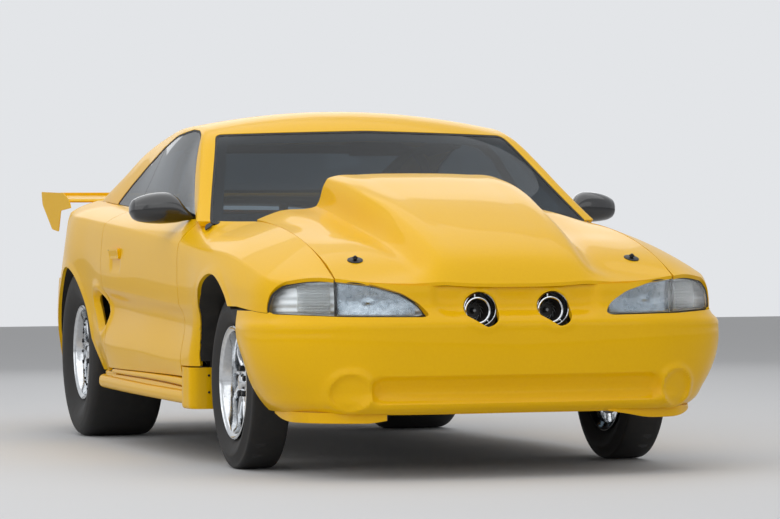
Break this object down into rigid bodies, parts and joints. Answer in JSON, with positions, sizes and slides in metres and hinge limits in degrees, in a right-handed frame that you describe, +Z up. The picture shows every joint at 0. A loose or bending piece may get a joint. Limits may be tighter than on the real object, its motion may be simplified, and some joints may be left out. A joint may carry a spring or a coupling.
{
  "type": "drag racing coupe",
  "caption": "Two-door drag racing coupe with a tall cowl scoop, nose-mounted turbo inlets, a roll cage, wide smooth rear tyres and a rear wing.",
  "frame": {"origin": "on the ground, midway between the nose and the tail of the wing, on the centre plane", "axes": "+Z up, the nose towards -Y, +X is the driver's left side"},
  "size_m": [1.972, 4.71, 1.362],
  "materials": {
    "body_paint": "gloss",
    "cabin_glass": "gloss",
    "lamp_lens": "gloss",
    "tail_lens": "gloss",
    "black_gloss": "gloss",
    "black_plastic": "matte",
    "tyre_rubber": "matte",
    "polished_rim": "polished",
    "cast_alloy": "satin",
    "cage_paint": "satin",
    "chassis_paint": "satin",
    "engine_iron": "rough",
    "seat_fabric": "matte"
  },
  "bodies": {
    "chassis": {"fenders": "body_paint", "quarter_panels": "body_paint", "side_skirts": "body_paint", "roof_and_pillars": "body_paint", "windscreen": "cabin_glass", "rear_window": "cabin_glass", "quarter_windows": "cabin_glass", "cowl_panel": "body_paint", "rear_shelf": "body_paint", "door_hinges": "chassis_paint", "front_bumper": "body_paint", "turbo_inlets": "cast_alloy", "air_dam": "body_paint", "headlamps": "lamp_lens", "rear_bumper": "body_paint", "tail_lamps": "tail_lens", "floor_pan": "chassis_paint", "tunnel": "chassis_paint", "firewall": "chassis_paint", "hinge_pillars": "chassis_paint", "front_rails": "chassis_paint", "wheel_houses": "chassis_paint", "dashboard": "black_plastic", "driver_seat": "seat_fabric", "roll_cage": "cage_paint", "engine_block": "engine_iron", "gearbox_and_shaft": "cast_alloy", "front_crossmember": "chassis_paint", "rear_axle": "engine_iron", "rear_links": "chassis_paint"},
    "hood": {"hood": "body_paint"},
    "door_left": {"door_left": "body_paint", "door_glass_left": "cabin_glass", "mirror_left": "black_gloss"},
    "door_right": {"door_right": "body_paint", "door_glass_right": "cabin_glass", "mirror_right": "black_gloss"},
    "deck": {"deck_lid": "body_paint", "rear_wing": "body_paint"},
    "steering": {"steering_wheel": "black_plastic"},
    "knuckle_left": {"knuckle_left": "engine_iron"},
    "knuckle_right": {"knuckle_right": "engine_iron"},
    "wheel_front_left": {"tyre_front_left": "tyre_rubber", "rim_front_left": "polished_rim"},
    "wheel_front_right": {"tyre_front_right": "tyre_rubber", "rim_front_right": "polished_rim"},
    "wheel_rear_left": {"tyre_rear_left": "tyre_rubber", "rim_rear_left": "polished_rim"},
    "wheel_rear_right": {"tyre_rear_right": "tyre_rubber", "rim_rear_right": "polished_rim"}
  },
  "joints": [
    {"name": "hood_hinge", "type": "hinge", "parent": "chassis", "child": "hood", "pos_m": [0, -1.105, 0.872], "axis": [-1, 0, 0], "range_deg": [0, 50]},
    {"name": "door_left_hinge", "type": "hinge", "parent": "chassis", "child": "door_left", "pos_m": [0.834, -0.771, 0.728], "axis": [0, 0, -1], "range_deg": [0, 65]},
    {"name": "door_right_hinge", "type": "hinge", "parent": "chassis", "child": "door_right", "pos_m": [-0.834, -0.771, 0.728], "axis": [0, 0, 1], "range_deg": [0, 65]},
    {"name": "deck_hinge", "type": "hinge", "parent": "chassis", "child": "deck", "pos_m": [0, 1.609, 1.044], "axis": [1, 0, 0], "range_deg": [0, 60]},
    {"name": "steer_left", "type": "hinge", "parent": "chassis", "child": "knuckle_left", "pos_m": [0.6, -1.391, 0.311], "axis": [0, 0, 1], "range_deg": [-28, 28]},
    {"name": "steer_right", "type": "hinge", "parent": "chassis", "child": "knuckle_right", "pos_m": [-0.6, -1.391, 0.311], "axis": [0, 0, 1], "range_deg": [-28, 28]},
    {"name": "steering_wheel_turn", "type": "hinge", "parent": "chassis", "child": "steering", "pos_m": [0.365, -0.431, 0.8], "axis": [0, 0.9397, 0.342], "range_deg": [-400, 400]},
    {"name": "spin_front_left", "type": "hinge", "parent": "knuckle_left", "child": "wheel_front_left", "pos_m": [0.71, -1.391, 0.311], "axis": [1, 0, 0], "continuous": true},
    {"name": "spin_front_right", "type": "hinge", "parent": "knuckle_right", "child": "wheel_front_right", "pos_m": [-0.71, -1.391, 0.311], "axis": [1, 0, 0], "continuous": true},
    {"name": "spin_rear_left", "type": "hinge", "parent": "chassis", "child": "wheel_rear_left", "pos_m": [0.6835, 1.182, 0.365], "axis": [1, 0, 0], "continuous": true},
    {"name": "spin_rear_right", "type": "hinge", "parent": "chassis", "child": "wheel_rear_right", "pos_m": [-0.6835, 1.182, 0.365], "axis": [1, 0, 0], "continuous": true}
  ],
  "couplings": [
    {"joint": "steer_right", "follows": "steer_left", "ratio": 1},
    {"joint": "steering_wheel_turn", "follows": "steer_left", "ratio": 14}
  ]
}
